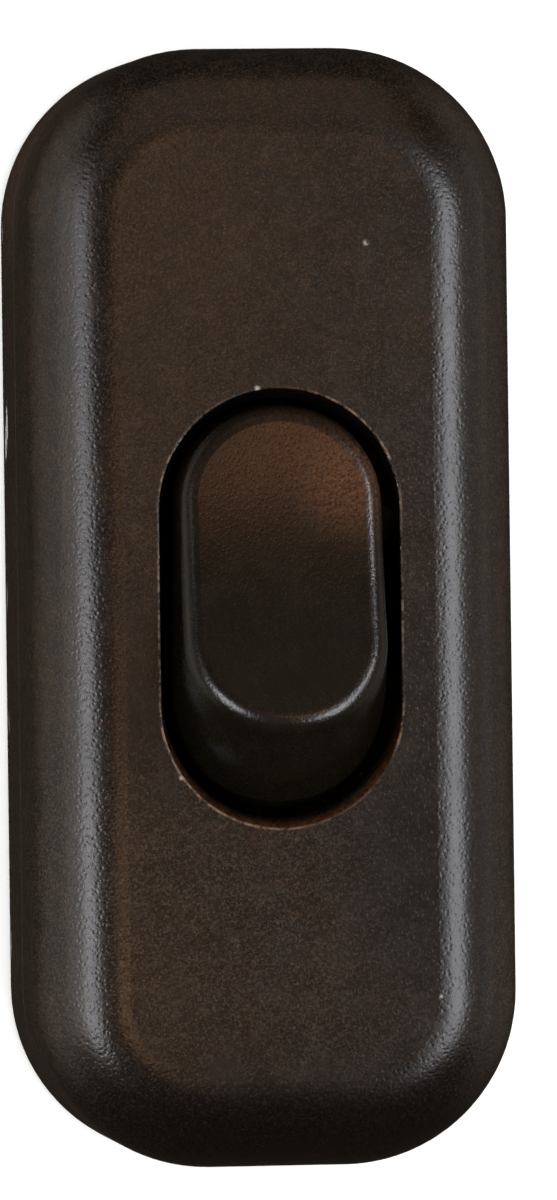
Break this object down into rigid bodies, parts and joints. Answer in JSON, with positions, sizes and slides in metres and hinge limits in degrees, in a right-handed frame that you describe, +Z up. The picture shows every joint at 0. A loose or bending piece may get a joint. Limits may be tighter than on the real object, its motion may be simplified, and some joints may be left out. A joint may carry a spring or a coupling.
{
  "type": "inline cord switch",
  "caption": "Inline rocker switch for a round flexible cord: two-shell rounded housing with see-saw contacts, cage terminals and screwed cord clamps inside.",
  "frame": {"origin": "centre of the flat underside of the housing", "axes": "+Z up through the rocker, +Y along the housing towards the rocker's pressed end, +X across it"},
  "size_m": [0.0304, 0.07, 0.027],
  "materials": {
    "housing_plastic": "fine matte grain, dark brown",
    "rocker_plastic": "smooth satin, dark brown",
    "clamp_plastic": "matte, black",
    "plunger_plastic": "satin, natural white",
    "strip_brass": "stamped, bright",
    "terminal_brass": "turned, satin",
    "contact_silver": "silver alloy, satin",
    "spring_steel": "drawn wire",
    "zinc_steel": "bright zinc plate"
  },
  "bodies": {
    "housing": {"lower_shell": "housing_plastic", "upper_shell": "housing_plastic", "housing_screws": "zinc_steel", "terminal_screws": "zinc_steel", "cord_clamp_in": "clamp_plastic", "cord_clamp_out": "clamp_plastic", "cord_clamp_screws": "zinc_steel", "earth_bar": "strip_brass", "neutral_fixed_contact": "contact_silver", "neutral_fulcrum_strip": "strip_brass", "neutral_contact_strip": "strip_brass", "live_fixed_contact": "contact_silver", "live_fulcrum_strip": "strip_brass", "live_contact_strip": "strip_brass", "neutral_in_terminal": "terminal_brass", "neutral_out_terminal": "terminal_brass", "earth_in_terminal": "terminal_brass", "earth_out_terminal": "terminal_brass", "live_in_terminal": "terminal_brass", "live_out_terminal": "terminal_brass"},
    "rocker_body": {"rocker": "rocker_plastic", "neutral_spring": "spring_steel", "live_spring": "spring_steel"},
    "neutral_plunger_body": {"neutral_plunger": "plunger_plastic"},
    "neutral_seesaw_body": {"neutral_seesaw": "strip_brass", "neutral_moving_contact": "contact_silver"},
    "live_plunger_body": {"live_plunger": "plunger_plastic"},
    "live_seesaw_body": {"live_seesaw": "strip_brass", "live_moving_contact": "contact_silver"}
  },
  "joints": [
    {"name": "rocker_pivot", "type": "hinge", "parent": "housing", "child": "rocker_body", "pos_m": [0, 0, 0.0142], "axis": [1, 0, 0], "range_deg": [0, 28]},
    {"name": "neutral_plunger_slide", "type": "slide", "parent": "rocker_body", "child": "neutral_plunger_body", "axis": [0, 0.2419, 0.9703], "range_m": [0, 0.0008], "stiffness_N_per_m": 50, "springref_m": -0.0005, "deforming": ["neutral_spring"]},
    {"name": "neutral_seesaw_hinge", "type": "hinge", "parent": "housing", "child": "neutral_seesaw_body", "pos_m": [0, 0, 0.00684], "axis": [1, 0, 0], "range_deg": [-18, 0]},
    {"name": "live_plunger_slide", "type": "slide", "parent": "rocker_body", "child": "live_plunger_body", "axis": [0, 0.2419, 0.9703], "range_m": [0, 0.0008], "stiffness_N_per_m": 50, "springref_m": -0.0005, "deforming": ["live_spring"]},
    {"name": "live_seesaw_hinge", "type": "hinge", "parent": "housing", "child": "live_seesaw_body", "pos_m": [0, 0, 0.00684], "axis": [1, 0, 0], "range_deg": [-18, 0]}
  ],
  "couplings": [
    {"joint": "neutral_seesaw_hinge", "follows": "rocker_pivot", "ratio": -0.64286},
    {"joint": "live_seesaw_hinge", "follows": "rocker_pivot", "ratio": -0.64286}
  ]
}
